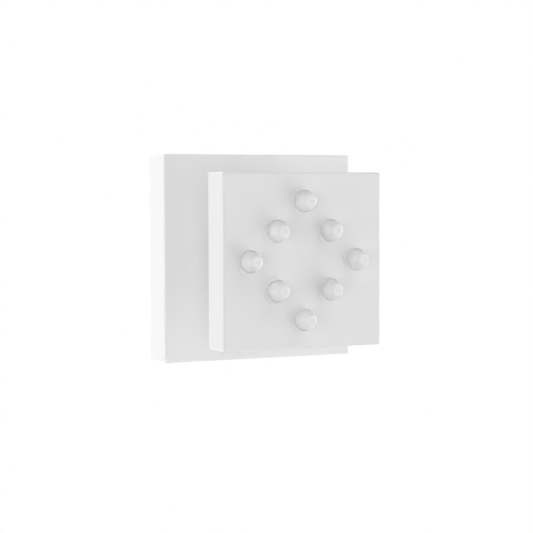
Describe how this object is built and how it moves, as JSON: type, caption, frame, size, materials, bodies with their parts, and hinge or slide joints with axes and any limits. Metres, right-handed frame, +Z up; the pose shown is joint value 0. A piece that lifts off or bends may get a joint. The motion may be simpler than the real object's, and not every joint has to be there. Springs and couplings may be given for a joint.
{
  "type": "shower body jet",
  "caption": "Square wall-mounted shower body jet: thick wall plate, hidden ball joint and a smaller square spray head with soft tapered nozzles set on a diamond.",
  "frame": {"origin": "on the inlet axis, in the plane of the wall that the plate lies on", "axes": "+Z up, -Y out of the wall towards the user, +X to the right as the user sees it"},
  "size_m": [0.08, 0.0588, 0.08],
  "materials": {
    "matt_white_paint": "matte",
    "white_silicone": "satin",
    "chromed_brass": "polished",
    "black_rubber": "matte",
    "grey_foam_rubber": "matte",
    "white_plastic": "satin",
    "grey_plastic": "satin",
    "stainless_steel": "satin"
  },
  "bodies": {
    "wall_mount": {"wall_flange": "matt_white_paint", "wall_gasket": "grey_foam_rubber", "flange_o_ring": "black_rubber", "ball_stud": "chromed_brass", "inlet_washer": "black_rubber", "filter_screen": "stainless_steel", "flow_regulator": "grey_plastic"},
    "retainer": {"ball_retainer": "white_plastic"},
    "seal": {"ball_seal": "black_rubber"},
    "head": {"swivel_nut": "matt_white_paint", "head_cover": "matt_white_paint", "cover_gasket": "black_rubber", "head_shell": "matt_white_paint", "jet_plate": "white_plastic", "cover_screws": "stainless_steel", "nozzle_top": "white_silicone", "nozzle_upper_right": "white_silicone", "nozzle_right": "white_silicone", "nozzle_lower_right": "white_silicone", "nozzle_bottom": "white_silicone", "nozzle_lower_left": "white_silicone", "nozzle_left": "white_silicone", "nozzle_upper_left": "white_silicone"}
  },
  "joints": [
    {"name": "tilt", "type": "hinge", "parent": "wall_mount", "child": "retainer", "pos_m": [0, -0.03, 0], "axis": [1, 0, 0], "range_deg": [-14, 14]},
    {"name": "pan", "type": "hinge", "parent": "retainer", "child": "seal", "pos_m": [0, -0.03, 0], "axis": [0, 0, 1], "range_deg": [-14, 14]},
    {"name": "spin", "type": "hinge", "parent": "seal", "child": "head", "pos_m": [0, -0.03, 0], "axis": [0, 1, 0], "continuous": true}
  ]
}
